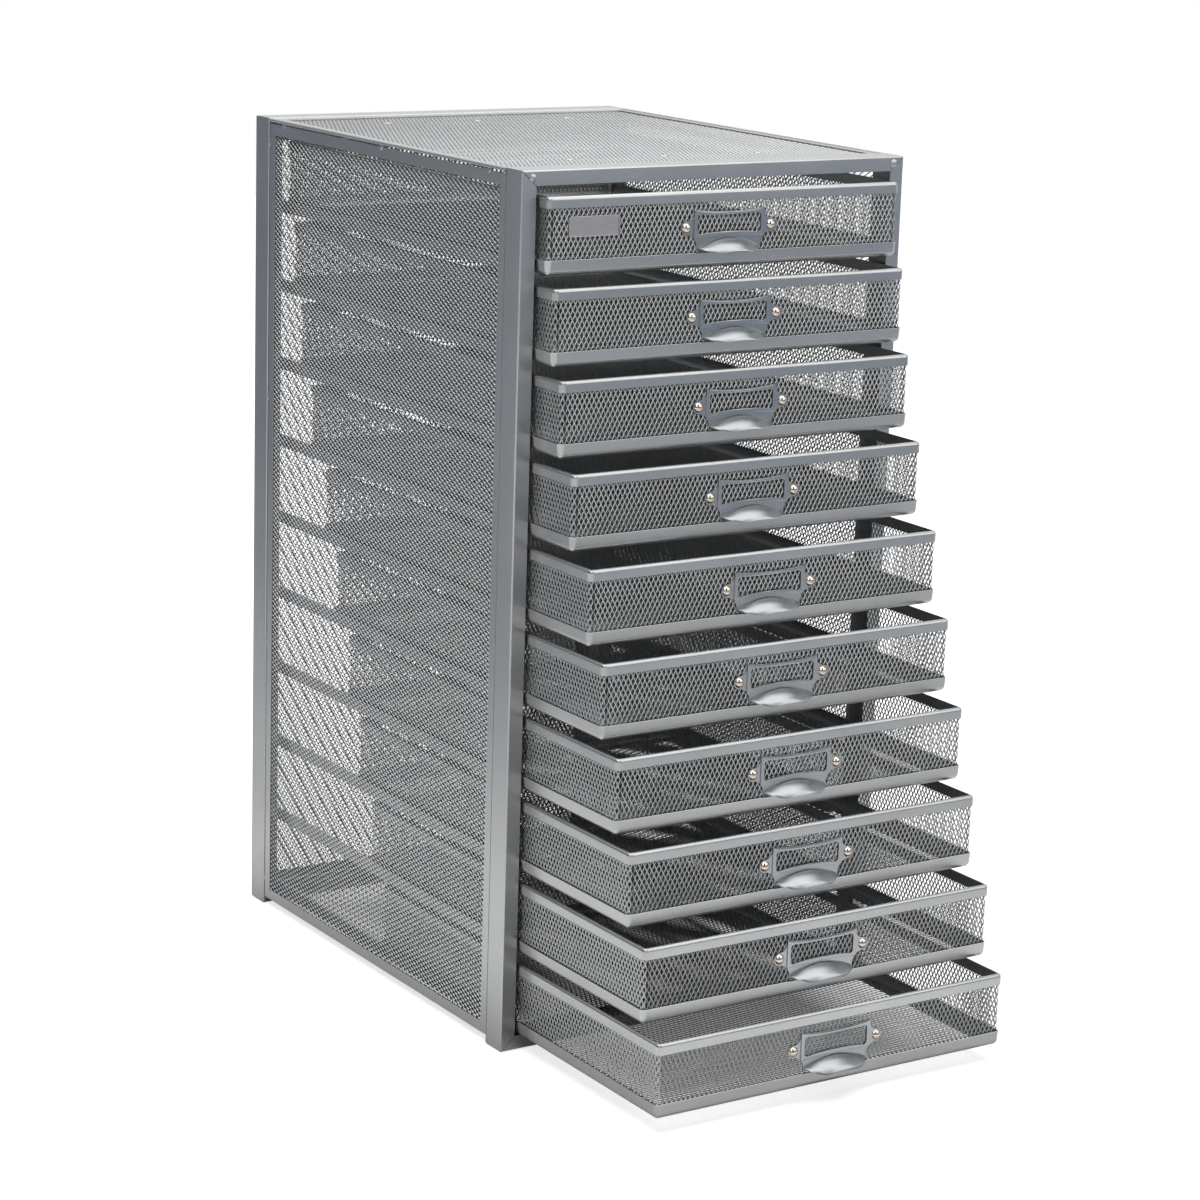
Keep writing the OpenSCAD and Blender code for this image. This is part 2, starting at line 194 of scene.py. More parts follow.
def patches(tree, size, detail, squeeze=1):
    """Noise on Object coordinates in patches of size metres, squeezed along Z into lines."""
    place = add(tree, "ShaderNodeTexCoord").outputs["Object"]
    squeezed = add(tree, "ShaderNodeMapping", {"Vector": place, "Scale": (1, 1, squeeze)})
    return add(tree, "ShaderNodeTexNoise", {
        "Vector": squeezed, "Scale": 1 / size, "Detail": detail,
    })


def dress(tree, shader, tone, grain, tints, roughness, bump, metallic):
    """Colour between two tints by the noise tone; roughness and bump (strength, depth) by grain."""
    colour = add(tree, "ShaderNodeMix", {
        0: tone, 6: srgb(tints[0]), 7: srgb(tints[1]),
    }, data_type="RGBA")
    tree.links.new(colour.outputs[2], shader.inputs["Base Color"])
    rough = add(tree, MAP_RANGE, (grain, 0, 1, *roughness))
    tree.links.new(rough.outputs[0], shader.inputs["Roughness"])
    skin = add(tree, "ShaderNodeBump", {"Height": grain, "Strength": bump[0], "Distance": bump[1]})
    tree.links.new(skin.outputs[0], shader.inputs["Normal"])
    shader.inputs["Metallic"].default_value = metallic


def powder_coated_steel(name, tints, roughness, peel):
    """Silver-grey powder coat on steel: a soft sheen over a fine orange-peel skin, peel deep."""
    material, tree, shader = new_material(name)
    cloud = patches(tree, 45 * MM, 3)
    grain = patches(tree, 3 * MM, 1)
    dress(tree, shader, cloud, grain, tints, roughness, (0.5, peel), 0.95)
    return material


def satin_nickel_plate():
    """Pressed steel, satin nickel plated: pale, soft-edged reflections and faint draw marks."""
    material, tree, shader = new_material("satin_nickel_plate")
    marks = patches(tree, 6 * MM, 3, squeeze=9)
    dress(tree, shader, marks, marks, ("95989b", "a3a6a8"), (0.28, 0.33), (0.3, 0.02 * MM), 1)
    return material


def polished_nickel():
    """Polished nickel rivets: sharp reflections with a faint warm cast and light handling marks."""
    material, tree, shader = new_material("polished_nickel")
    smear = patches(tree, 2 * MM, 2)
    dress(tree, shader, smear, smear, ("bfb1a4", "cbbfb2"), (0.05, 0.13), (0.2, 0.02 * MM), 1)
    return material


def brushed_plate():
    """Thin brushed steel plate: fine lines along its length, slightly warm and dull.

    Real brush lines are under 0.1 mm; these are 0.3 mm, as coarse as they need to be to show.
    """
    material, tree, shader = new_material("brushed_plate")
    lines = patches(tree, 8 * MM, 4, squeeze=25)
    dress(tree, shader, lines, lines, ("a19e9c", "bab8b6"), (0.28, 0.44), (0.3, 0.02 * MM), 0.9)
    return material


COAT = powder_coated_steel("powder_coated_steel", ("a3a4a5", "b3b4b4"), (0.285, 0.345), 0.03 * MM)
# The mesh takes a darker copy of the strips' coat. The darkening is painted shade, so that the
# drawers' insides and the mesh seen through read darker.
SHADED_MESH_COAT = powder_coated_steel("powder_coated_mesh", ("9a9c9d", "a9aaab"), (0.3, 0.36), 0.01 * MM)
PULL_PLATE = satin_nickel_plate()
NICKEL = polished_nickel()
NAME_PLATE = brushed_plate()

# ---------------------------------- mesh helpers


def new_piece(name, mesh, body, replaced, finish, smooth=35):
    """Puts a finished mesh in the scene as a piece that rides on body and stands for CAD nodes.

    smooth is the angle in degrees past which an edge stays sharp, or 0 for flat faces.
    """
    mesh.name = name
    piece = linked(name, mesh)
    if not mesh.materials:
        mesh.materials.append(finish)
    if smooth:
        mesh.shade_smooth()
        mesh.set_sharp_from_angle(angle=math.radians(smooth))
        piece.data = even_normals(piece)
    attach(piece, body)
    if replaced:
        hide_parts(*replaced)
    return piece


def baked(holder):
    """Plain mesh of an object as its modifiers, or its curve, make it."""
    graph = bpy.context.evaluated_depsgraph_get()
    return bpy.data.meshes.new_from_object(holder.evaluated_get(graph), depsgraph=graph)


def even_normals(piece):
    """The piece's mesh with normals weighted by face area, so that flat faces shade flat."""
    even = piece.modifiers.new("even", "WEIGHTED_NORMAL")
    even.keep_sharp = True
    made = baked(piece)
    piece.modifiers.remove(even)
    made.name = piece.name
    return made


def mesh_from(bm):
    """Plain mesh from a bmesh, with doubles merged and faces turned outwards."""
    bmesh.ops.remove_doubles(bm, verts=bm.verts, dist=1e-6)
    bmesh.ops.recalc_face_normals(bm, faces=bm.faces)
    mesh = bpy.data.meshes.new("made")
    bm.to_mesh(mesh)
    bm.free()
    return mesh


def cleaned(mesh):
    """The mesh with doubles merged and faces turned outwards; the one given is removed."""
    bm = bmesh.new()
    bm.from_mesh(mesh)
    bpy.data.meshes.remove(mesh)
    return mesh_from(bm)


def joined(meshes):
    """One mesh from several, which are then removed."""
    bm = bmesh.new()
    for mesh in meshes:
        bm.from_mesh(mesh)
        bpy.data.meshes.remove(mesh)
    out = bpy.data.meshes.new("joined")
    bm.to_mesh(out)
    bm.free()
    return out


shift = Matrix.Translation


def turned(degrees, axis):
    """Matrix of a turn about an axis through the origin."""
    return Matrix.Rotation(math.radians(degrees), 4, axis)


def moved(mesh, matrix):
    """The mesh itself, moved; a mirrored one keeps its faces outwards."""
    mesh.transform(matrix)
    if matrix.determinant() < 0:
        mesh.flip_normals()
    return mesh


def loft(rings, closed):
    """Closed skin through rings of points; closed joins the last ring to the first."""
    bm = bmesh.new()
    made = [[bm.verts.new(p) for p in ring] for ring in rings]
    count = len(made[0])
    pairs = list(zip(made, made[1:] + made[:1])) if closed else list(zip(made, made[1:]))
    for a, b in pairs:
        for k in range(count):
            n = (k + 1) % count
            corners = []
            for v in (a[k], a[n], b[n], b[k]):
                if not corners or (v.co - corners[-1].co).length > 1e-8:
                    corners.append(v)
            if len(corners) > 2 and (corners[0].co - corners[-1].co).length < 1e-8:
                corners.pop()
            if len(corners) > 2:
                bm.faces.new(corners)
    if not closed:
        bm.faces.new(made[0])
        bm.faces.new(made[-1])
    return mesh_from(bm)


def rounded_section(width, height, radius, steps=4):
    """Points around a rounded rectangle, from (0, 0) to (width, height)."""
    points = []
    for cx, cy, start in ((width - radius, radius, -90), (width - radius, height - radius, 0),
                          (radius, height - radius, 90), (radius, radius, 180)):
        for k in range(steps + 1):
            a = math.radians(start + 90 * k / steps)
            points.append((cx + radius * math.cos(a), cy + radius * math.sin(a)))
    return points


def bar(low, high, edge):
    """Straight bar with rounded long edges, running along its longest side."""
    size = Vector(high) - Vector(low)
    axis = max(range(3), key=lambda k: size[k])
    u, v = [k for k in range(3) if k != axis]
    rings = []
    for end in (0, 1):
        ring = []
        for a, b in rounded_section(size[u], size[v], edge):
            point = Vector(low)
            point[u] += a
            point[v] += b
            point[axis] += end * size[axis]
            ring.append(point)
        rings.append(ring)
    return loft(rings, False)


def mitred_ring(width, height, side_w, end_h, depth, edge, seam):
    """Rectangular ring of four mitred bars, centred in X and Z with its depth along +Y from 0.

    side_w is the upright bars' face width and end_h that of the bars across. With a seam, a
    shallow groove marks each mitre.
    """
    section = rounded_section(1, depth, edge, 4)
    rings = []
    for sx, sz in ((1, 1), (-1, 1), (-1, -1), (1, -1)):
        upright_first = sx * sz > 0
        steps = ("before", "seam", "after") if seam else ("seam",)
        for step in steps:
            ring = []
            for across, y in section:
                a = edge_fraction(across, edge, side_w)
                b = edge_fraction(across, edge, end_h)
                if seam and step == "seam":
                    a = 0.5 + (a - 0.5) * (1 - 2 * SEAM_DEPTH / side_w)
                    b = 0.5 + (b - 0.5) * (1 - 2 * SEAM_DEPTH / end_h)
                    y = depth / 2 + (y - depth / 2) * (1 - 2 * SEAM_DEPTH / depth)
                x = sx * (width / 2 - a * side_w)
                z = sz * (height / 2 - b * end_h)
                along_upright = (step == "before") == upright_first
                if step != "seam":
                    if along_upright:
                        z -= sz * SEAM_HALF
                    else:
                        x -= sx * SEAM_HALF
                ring.append(Vector((x, y, z)))
            rings.append(ring)
    return loft(rings, True)


def edge_fraction(across, edge, bar_w):
    """Place across a bar, 0 to 1, whose two rounded edges keep their radius in metres."""
    if across < edge:
        return across / bar_w
    if across > 1 - edge:
        return 1 - (1 - across) / bar_w
    return across


def rounded_path(steps=7):
    """Corner fans of a rounded rectangle seen from above, anticlockwise from the front right.

    Each entry is (corner signs, normal); offset_point turns it into a point at any inset.
    """
    path = []
    for sx, sy, start in ((1, -1, -90), (1, 1, 0), (-1, 1, 90), (-1, -1, 180)):
        for k in range(steps + 1):
            a = math.radians(start + 90 * k / steps)
            path.append((Vector((sx, sy)), Vector((math.cos(a), math.sin(a)))))
    return path


def offset_point(station, width, depth, radius, inset, z):
    """Point of a rounded rectangle drawn in by inset; y runs from 0 at the front to depth."""
    sign, normal = station
    left = max(radius - inset, 0)
    kept = max(radius, inset)
    centre = Vector((sign.x * (width / 2 - kept), depth / 2 + sign.y * (depth / 2 - kept)))
    flat = centre + normal * left
    return Vector((flat.x, flat.y, z))


def swept_wall(width, depth, radius, section):
    """Strip around a rounded rectangle; section is a closed list of (inset, height)."""
    rings = []
    for station in rounded_path():
        rings.append([offset_point(station, width, depth, radius, *place) for place in section])
    return loft(rings, True)


def arc(cx, cy, radius, start, end, steps):
    """Points on an arc between two angles in degrees."""
    points = []
    for k in range(steps + 1):
        a = math.radians(start + (end - start) * k / steps)
        points.append((cx + radius * math.cos(a), cy + radius * math.sin(a)))
    return points


# ---------------------------------- expanded mesh


def strand_shape(twist):
    """Twisted strand, one unit wide, with four faces; its ends turn opposite ways.

    It is a little longer than one unit, so that strands run into each other where they meet.
    """
    wide = math.cos(math.radians(twist)) / 2
    deep = math.sin(math.radians(twist)) / 2
    half = STRAND_HALF
    mesh = bpy.data.meshes.new("strand")
    mesh.from_pydata(
        [(-half, -wide, -deep), (-half, wide, deep), (half, -wide, deep), (half, wide, -deep)],
        [], [(0, 1, 2), (0, 3, 1), (0, 2, 3), (1, 3, 2)])
    return linked("strand", mesh)


def new_group(name, made, inputs):
    """New geometry node group and what its inputs give; inputs is pairs of a name and a kind."""
    tree = bpy.data.node_groups.new(name, "GeometryNodeTree")
    for label, kind in inputs:
        tree.interface.new_socket(label, in_out="INPUT", socket_type="NodeSocket" + kind)
    tree.interface.new_socket(made, in_out="OUTPUT", socket_type="NodeSocketGeometry")
    return tree, add(tree, "NodeGroupInput").outputs


def expanded_mesh_tree():
    """Geometry nodes that hang a lattice of strands along a path seen from above.

    The lattice has Columns x Rows half diamonds, each with one strand of Width that slants either
    way by turns. Lean tips every strand down the height, and Turned Lean tips them by turns. It is
    laid out flat, then wrapped: its length follows the path and its height is Z.
    """
    tree, given = new_group("expanded_mesh", "Mesh", (
        ("Path", "Geometry"), ("Columns", "Int"), ("Rows", "Int"), ("Height", "Float"),
        ("Width", "Float"), ("Lean", "Float"), ("Turned Lean", "Float"), ("Strand", "Object"),
        ("Finish", "Material"),
    ))
    length = add(tree, "GeometryNodeCurveLength", [given["Path"]])
    step_u = add(tree, MATH, (length, given["Columns"]), operation="DIVIDE")
    step_v = add(tree, MATH, (given["Height"], given["Rows"]), operation="DIVIDE")

    # The column and row of each strand, and a point in the middle of its cell
    index = add(tree, "GeometryNodeInputIndex")
    share = add(tree, MATH, (index, given["Rows"]), operation="DIVIDE")
    column = add(tree, MATH, [share], operation="FLOOR")
    before = add(tree, MATH, (column, given["Rows"]), operation="MULTIPLY")
    row = add(tree, MATH, (index, before), operation="SUBTRACT")
    mid_column = add(tree, MATH, (column, 0.5), operation="ADD")
    mid_row = add(tree, MATH, (row, 0.5), operation="ADD")
    centre = add(tree, "ShaderNodeCombineXYZ", (
        add(tree, MATH, (mid_column, step_u), operation="MULTIPLY"),
        add(tree, MATH, (mid_row, step_v), operation="MULTIPLY"),
    ))
    count = add(tree, MATH, (given["Columns"], given["Rows"]), operation="MULTIPLY")
    points = add(tree, "GeometryNodePoints", {"Count": count, "Position": centre})

    # A strand on each point; side is 1 and -1 by turns
    cells = add(tree, MATH, (column, row), operation="ADD")
    parity = add(tree, MATH, (cells, 2.0), operation="MODULO")
    double = add(tree, MATH, (parity, 2.0), operation="MULTIPLY")
    side = add(tree, MATH, (1.0, double), operation="SUBTRACT")
    angle = add(tree, MATH, (step_v, step_u), operation="ARCTAN2")
    slant = add(tree, MATH, (side, angle), operation="MULTIPLY")
    alternate = add(tree, MATH, (side, given["Turned Lean"]), operation="MULTIPLY")
    lean = add(tree, MATH, (given["Lean"], alternate), operation="ADD")
    turn = add(tree, "ShaderNodeCombineXYZ", {0: lean, 2: slant})
    squares = add(tree, MATH, (
        add(tree, MATH, (step_u, 2.0), operation="POWER"),
        add(tree, MATH, (step_v, 2.0), operation="POWER"),
    ), operation="ADD")
    reach = add(tree, MATH, [squares], operation="SQRT")
    stretch = add(tree, "ShaderNodeCombineXYZ", (reach, given["Width"], given["Width"]))
    strand = add(tree, "GeometryNodeObjectInfo", {"Object": given["Strand"]}).outputs["Geometry"]
    placed = add(tree, "GeometryNodeInstanceOnPoints", {
        "Points": points, "Instance": strand, "Rotation": turn, "Scale": stretch,
    })
    real = add(tree, "GeometryNodeRealizeInstances", [placed])

    # The flat sheet wrapped onto the path
    flat = add(tree, "ShaderNodeSeparateXYZ", [add(tree, "GeometryNodeInputPosition")]).outputs
    along = add(tree, "GeometryNodeSampleCurve", {
        "Curves": given["Path"], "Length": flat[0],
    }, mode="LENGTH").outputs
    outward = add(tree, VECTOR_MATH, (along["Tangent"], (0, 0, 1)), operation="CROSS_PRODUCT")
    proud = add(tree, VECTOR_MATH, {0: outward, "Scale": flat[2]}, operation="SCALE")
    base = add(tree, VECTOR_MATH, (along["Position"], proud), operation="ADD")
    rise = add(tree, "ShaderNodeCombineXYZ", {2: flat[1]})
    place = add(tree, VECTOR_MATH, (base, rise), operation="ADD")
    wrapped = add(tree, "GeometryNodeSetPosition", {"Geometry": real, "Position": place})
    finished = add(tree, "GeometryNodeSetMaterial", {
        "Geometry": wrapped, "Material": given["Finish"],
    })
    add(tree, "NodeGroupOutput", [finished])
    return tree


MESH_TREE = expanded_mesh_tree()


def evaluated_mesh(holder, tree, values):
    """Plain mesh of what tree makes on holder, which is then removed."""
    modifier = holder.modifiers.new("made", "NODES")
    modifier.node_group = tree
    sockets = {s.name: s.identifier for s in tree.interface.items_tree if s.in_out == "INPUT"}
    for name, value in values.items():
        modifier[sockets[name]] = value
    bpy.context.view_layer.update()
    mesh = baked(holder)
    holder.modifiers.remove(modifier)
    bpy.data.objects.remove(holder)
    return mesh


def lattice(points, height, weave):
    """Expanded mesh that stands on a path seen from above; weave is one of those named above."""
    (short, long), long_up, width, lean, twist = weave
    step_u, step_v = (short / 2, long / 2) if long_up else (long / 2, short / 2)
    strand = strand_shape(twist)
    data = bpy.data.curves.new("path", "CURVE")
    data.dimensions = "3D"
    spline = data.splines.new("POLY")
    spline.points.add(len(points) - 1)
    for point, place in zip(spline.points, points):
        point.co = (place[0], place[1], 0, 1)
    holder = linked("path", data)
    length = sum(math.dist(a, b) for a, b in zip(points, points[1:]))
    columns = 2 * round(length / step_u / 2)
    rows = max(1, round(height / step_v))
    mesh = evaluated_mesh(holder, MESH_TREE, {
        "Columns": columns, "Rows": rows, "Height": height, "Width": width,
        "Lean": 0.0 if long_up else math.radians(lean),
        "Turned Lean": math.radians(lean) if long_up else 0.0,
        "Strand": strand, "Finish": SHADED_MESH_COAT,
    })
    bpy.data.objects.remove(strand)
    return mesh


def flat_lattice(across, height, weave):
    """Expanded mesh in the XZ plane, centred on the origin and facing -Y."""
    mesh = lattice([(-across / 2, 0), (across / 2, 0)], height, weave)
    return moved(mesh, shift((0, 0, -height / 2)))


# ---------------------------------- weld beads


def weld_tree():
    """Geometry nodes that set a flattened drop of weld on each point."""
    tree, given = new_group("weld_beads", "Beads", (
        ("Places", "Geometry"), ("Radius", "Float"), ("Stretch", "Vector"), ("Finish", "Material"),
    ))
    drop = add(tree, "GeometryNodeMeshIcoSphere", {"Radius": given["Radius"], "Subdivisions": 3})
    points = add(tree, "GeometryNodeMeshToPoints", [given["Places"]])
    vary = add(tree, "FunctionNodeRandomValue", {2: 0.85, 3: 1.15, "Seed": 5}, data_type="FLOAT")
    sizes = {0: given["Stretch"], "Scale": vary.outputs[1]}
    size = add(tree, VECTOR_MATH, sizes, operation="SCALE")
    placed = add(tree, "GeometryNodeInstanceOnPoints", {
        "Points": points, "Instance": drop, "Scale": size,
    })
    real = add(tree, "GeometryNodeRealizeInstances", [placed])
    finished = add(tree, "GeometryNodeSetMaterial", {"Geometry": real, "Material": given["Finish"]})
    add(tree, "NodeGroupOutput", [finished])
    return tree


WELD_TREE = weld_tree()


def weld_beads(places, radius, stretch):
    """Weld drops at places, each a flattened ball stretched along X, Y and Z."""
    mesh = bpy.data.meshes.new("places")
    mesh.from_pydata(places, [], [])
    holder = linked("places", mesh)
    return evaluated_mesh(holder, WELD_TREE, {"Radius": radius, "Stretch": stretch, "Finish": COAT})


# ---------------------------------- cabinet

FRONT_LOW, FRONT_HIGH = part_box("front_frame")
REAR_LOW, REAR_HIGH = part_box("rear_frame")
SIDE_LOW, SIDE_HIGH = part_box("right_side_panel")
TOP_LOW, TOP_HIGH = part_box("top_panel")
BOTTOM_LOW, BOTTOM_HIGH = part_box("bottom_panel")
BACK_LOW, BACK_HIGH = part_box("back_panel")
POST_FACE = 10 * MM
RAIL_FACE = 9 * MM
PANEL_GAP = 0.7 * MM

# Welds: the frames' plugs, the panels' tacks and the spots on the braces, with their insets from
# the ends of what they join
PLUG_RADIUS = 2.3 * MM
PLUG_INSET = (7.6 * MM, 4.3 * MM)
TACK_RADIUS = 1.0 * MM
POST_TACK_INSET = 14 * MM
TOP_TACK_INSET = 20 * MM
RAIL_TACK_INSET = 22 * MM
SPOT_RADIUS = 2.2 * MM
SPOTS_X = (-72 * MM, -3 * MM, 68 * MM)

# Side panels: the gap under the roll along the top, the step in from the frames' faces, and the
# depth of the tacks' middles in the strips. Top: its tacks' depth, the room between its strips and
# braces, and the braces' step in from the strips' ends. Bottom: the height of its strips' faces.
SIDE_DROP = 1.1 * MM
SIDE_STEP = 0.6 * MM
SIDE_TACK_SINK = 0.3 * MM
TOP_TACK_SINK = 0.2 * MM
BRACE_ROOM = 0.9 * MM
BRACE_STEP = 2 * MM
BOTTOM_RISE = 4 * MM


def tube_frame(name, low, high):
    """Welded ring of rectangular tube with mitred corners and a plug weld near the upper ones."""
    size = high - low
    ring = mitred_ring(size.x, size.z, POST_FACE, RAIL_FACE, size.y, TUBE_EDGE, True)
    moved(ring, shift((0, low.y, (low.z + high.z) / 2)))
    plug_x = size.x / 2 - PLUG_INSET[0]
    plug_z = high.z - PLUG_INSET[1]
    plugs = weld_beads([(s * plug_x, low.y, plug_z) for s in (-1, 1)], PLUG_RADIUS, (1, 0.35, 1))
    new_piece(name + "_welded", joined([ring, plugs]), "cabinet", [name], COAT)


def strip_ring(width, height):
    """Flat strips around a panel, in the XZ plane, outer face on y = 0 and growing to +Y."""
    return mitred_ring(width, height, STRIP_WIDTH, STRIP_WIDTH, STRIP_THICK, STRIP_EDGE, False)


def panel(name, width, height, weave, turn, extras):
    """Strip ring with expanded mesh behind it. turn takes the XZ plane to the panel's place."""
    ring = moved(strip_ring(width, height), turn)
    inner_w = width - 2 * STRIP_WIDTH + 2 * MESH_TUCK
    inner_h = height - 2 * STRIP_WIDTH + 2 * MESH_TUCK
    mesh = flat_lattice(inner_w, inner_h, weave)
    moved(mesh, turn @ shift((0, STRIP_THICK, 0)))
    strips = joined([ring] + extras)
    new_piece(name + "_strips", strips, "cabinet", [name], COAT)
    new_piece(name + "_mesh", mesh, "cabinet", [name], SHADED_MESH_COAT, smooth=0)


def spread(start, end, inset, count):
    """Evenly spaced places from start to end, the outer ones inset from the ends."""
    first, last = start + inset, end - inset
    return [first + k * (last - first) / (count - 1) for k in range(count)]


def side_panels():
    """Both side panels: strips and mesh between the frames, tack-welded along their edges."""
    width = SIDE_HIGH.y - SIDE_LOW.y - 2 * PANEL_GAP
    height = SIDE_HIGH.z - SIDE_DROP - SIDE_LOW.z
    mid = Vector((0, (SIDE_LOW.y + SIDE_HIGH.y) / 2, (SIDE_LOW.z + SIDE_HIGH.z - SIDE_DROP) / 2))
    outer = SIDE_HIGH.x - SIDE_STEP
    for side, name in ((-1, "left_side_panel"), (1, "right_side_panel")):
        turn = shift((side * outer, mid.y, mid.z)) @ turned(90 * side, "Z")
        front, rear = SIDE_LOW.y + PANEL_GAP / 2, SIDE_HIGH.y - PANEL_GAP / 2
        edge = side * (outer - SIDE_TACK_SINK)
        heights = spread(SIDE_LOW.z, SIDE_HIGH.z, POST_TACK_INSET, 4)
        ends = [(edge, y, z) for y in (front, rear) for z in heights]
        tops = [(edge, y, SIDE_HIGH.z - SIDE_DROP) for y in spread(front, rear, TOP_TACK_INSET, 3)]
        beads = [weld_beads(ends, TACK_RADIUS, (0.7, 1, 2.2)),
                 weld_beads(tops, TACK_RADIUS, (0.7, 1.8, 1.9))]
        panel(name, width, height, SIDE_WEAVE, turn, beads)


def top_panel():
    """Top: strips over mesh, two flat braces under it and a rolled edge along each side."""
    depth = TOP_HIGH.y - TOP_LOW.y - 2 * PANEL_GAP
    width = TOP_HIGH.x - TOP_LOW.x - 2 * ROLL_RADIUS
    mid_y = (TOP_LOW.y + TOP_HIGH.y) / 2
    top = TOP_HIGH.z - ROLL_RADIUS + STRIP_THICK / 2
    turn = shift((0, mid_y, top)) @ turned(-90, "X")
    extras = []
    for side in (-1, 1):
        centre = (side * width / 2, mid_y - depth / 2, TOP_HIGH.z - ROLL_RADIUS)
        ring = arc(0, 0, ROLL_RADIUS, 0, 330, 11)
        rings = [[Vector(centre) + Vector((a, y, b)) for a, b in ring] for y in (0, depth)]
        extras.append(loft(rings, False))
    brace_top = top - STRIP_THICK - BRACE_ROOM
    for end in (-1, 1):
        y = mid_y + end * (depth / 2 - BRACE_INSET)
        reach = width / 2 - BRACE_STEP
        extras.append(bar((-reach, y - BRACE_WIDTH / 2, brace_top - STRIP_THICK),
                          (reach, y + BRACE_WIDTH / 2, brace_top), STRIP_EDGE))
    spots = [(x, mid_y + end * (depth / 2 - BRACE_INSET), top - STRIP_THICK)
             for end in (-1, 1) for x in SPOTS_X]
    extras.append(weld_beads(spots, SPOT_RADIUS, (1.2, 1.2, 0.35)))
    edges = [(x, y, top - TOP_TACK_SINK) for x in spread(-width / 2, width / 2, RAIL_TACK_INSET, 3)
             for y in (TOP_LOW.y + PANEL_GAP / 2, TOP_HIGH.y - PANEL_GAP / 2)]
    extras.append(weld_beads(edges, TACK_RADIUS, (2.2, 1, 0.6)))
    panel("top_panel", width, depth, TOP_WEAVE, turn, extras)


def bottom_panel():
    """Bottom: strips and mesh between the two bottom rails."""
    depth = BOTTOM_HIGH.y - BOTTOM_LOW.y - 2 * PANEL_GAP
    width = BOTTOM_HIGH.x - BOTTOM_LOW.x
    place = ((BOTTOM_LOW.x + BOTTOM_HIGH.x) / 2, (BOTTOM_LOW.y + BOTTOM_HIGH.y) / 2, BOTTOM_RISE)
    turn = shift(place) @ turned(90, "X")
    panel("bottom_panel", width, depth, TOP_WEAVE, turn, [])


def back_panel():
    """Back: strips and mesh in the rear frame's opening, facing backwards."""
    width = BACK_HIGH.x - BACK_LOW.x
    height = BACK_HIGH.z - BACK_LOW.z
    turn = shift((0, BACK_HIGH.y, (BACK_LOW.z + BACK_HIGH.z) / 2)) @ turned(180, "Z")
    panel("back_panel", width, height, BACK_WEAVE, turn, [])


def runners():
    """The L-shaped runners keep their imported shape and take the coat."""
    for name in ("left_runners", "right_runners"):
        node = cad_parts[name]
        node.data.materials.clear()
        node.data.materials.append(COAT)


# ---------------------------------- drawer pieces, each in its drawer's own frame

BAND_LOW, BAND_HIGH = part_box("drawer_1_bottom_band")
RIM_LOW, RIM_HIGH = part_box("drawer_1_top_rim")
DRAWER_W = BAND_HIGH.x - BAND_LOW.x
DRAWER_D = BAND_HIGH.y - BAND_LOW.y
DRAWER_H = RIM_HIGH.z - BAND_LOW.z
BAND_H = BAND_HIGH.z - BAND_LOW.z
RIM_H = RIM_HIGH.z - RIM_LOW.z


def rim_mesh():
    """Strip folded over the mesh's top edge, rounded along the fold."""
    outer, inner = RIM_STEP, RIM_STEP + RIM_THICK
    lip = RIM_THICK - RIM_FOLD
    fold = arc(outer + RIM_FOLD, DRAWER_H - RIM_FOLD, RIM_FOLD, 180, 90, 7)
    fold += arc(inner - lip, DRAWER_H - lip, lip, 90, 0, 2)[1:]
    foot = DRAWER_H - RIM_H
    section = ([(outer + STRIP_NICK, foot), (outer, foot + STRIP_NICK)] + fold
               + [(inner, foot + STRIP_NICK), (inner - STRIP_NICK, foot)])
    return swept_wall(DRAWER_W, DRAWER_D, DRAWER_CORNER, section)


def band_mesh():
    """Strip around the foot of the walls, with a rolled foot and turned in below the floor."""
    roll = arc(BAND_LEAN + BAND_ROLL, BAND_ROLL, BAND_ROLL, 184, 270, 7)
    section = ([(BAND_LEAN + BAND_THICK + 1.4 * MM, BAND_THICK + 0.6 * MM),
                (BAND_LEAN + BAND_THICK, BAND_ROLL), (BAND_THICK, BAND_H - STRIP_NICK),
                (BAND_THICK - STRIP_NICK, BAND_H), (STRIP_NICK, BAND_H), (0, BAND_H - STRIP_NICK)]
               + roll + [(BAND_FOLD, 0), (BAND_FOLD, BAND_THICK), (BAND_LEDGE, BAND_THICK)])
    return swept_wall(DRAWER_W, DRAWER_D, DRAWER_CORNER, section)


def basket_mesh():
    """Walls and floor of expanded mesh; the walls follow the rounded corners."""
    head = DRAWER_H - RIM_H / 2
    path = [offset_point(s, DRAWER_W, DRAWER_D, DRAWER_CORNER, MESH_DEPTH, 0)[:2]
            for s in rounded_path()]
    walls = joined([lattice(path[-1:] + path[:1], head - WALL_FOOT, FRONT_WEAVE),
                    lattice(path, head - WALL_FOOT, WALL_WEAVE)])
    moved(walls, shift((0, 0, WALL_FOOT)))
    floor = flat_lattice(DRAWER_W - 2 * FLOOR_INSET, DRAWER_D - 2 * FLOOR_INSET, FLOOR_WEAVE)
    rest = Vector((0, DRAWER_D / 2, BAND_THICK + FLOOR_RISE))
    lay = shift(rest) @ turned(-90, "X")
    return joined([walls, moved(floor, lay)])


# ---------------------------------- pull and name plate

PULL_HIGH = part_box("drawer_1_pull")[1]
PULL_THICK = 0.8 * MM
PULL_EDGE = 0.15 * MM
PULL_BACK = 0.9 * MM
HOLDER_HALF = 26 * MM
HOLDER_TOP = PULL_HIGH.z - BAND_LOW.z
HOLDER_SAG = 1.8 * MM
HOLDER_FOOT = 18 * MM
HOLDER_BORDER = 2.8 * MM
HOLDER_PROUD = 1.5 * MM
HOLDER_STEP = (0.3 * MM, 0.35 * MM)
HOLDER_CHAMFER = 0.8 * MM
HOLDER_BOW = 1.0 * MM
HOLDER_EDGE = 0.35 * MM
WINDOW_FOOT = HOLDER_FOOT + 2.2 * MM
WINDOW_TOP = HOLDER_TOP - 3.0 * MM
WINDOW_BOW = 1.5 * MM
WINDOW_SAG = 0.72 * MM
WINDOW_RADIUS = 2.2 * MM
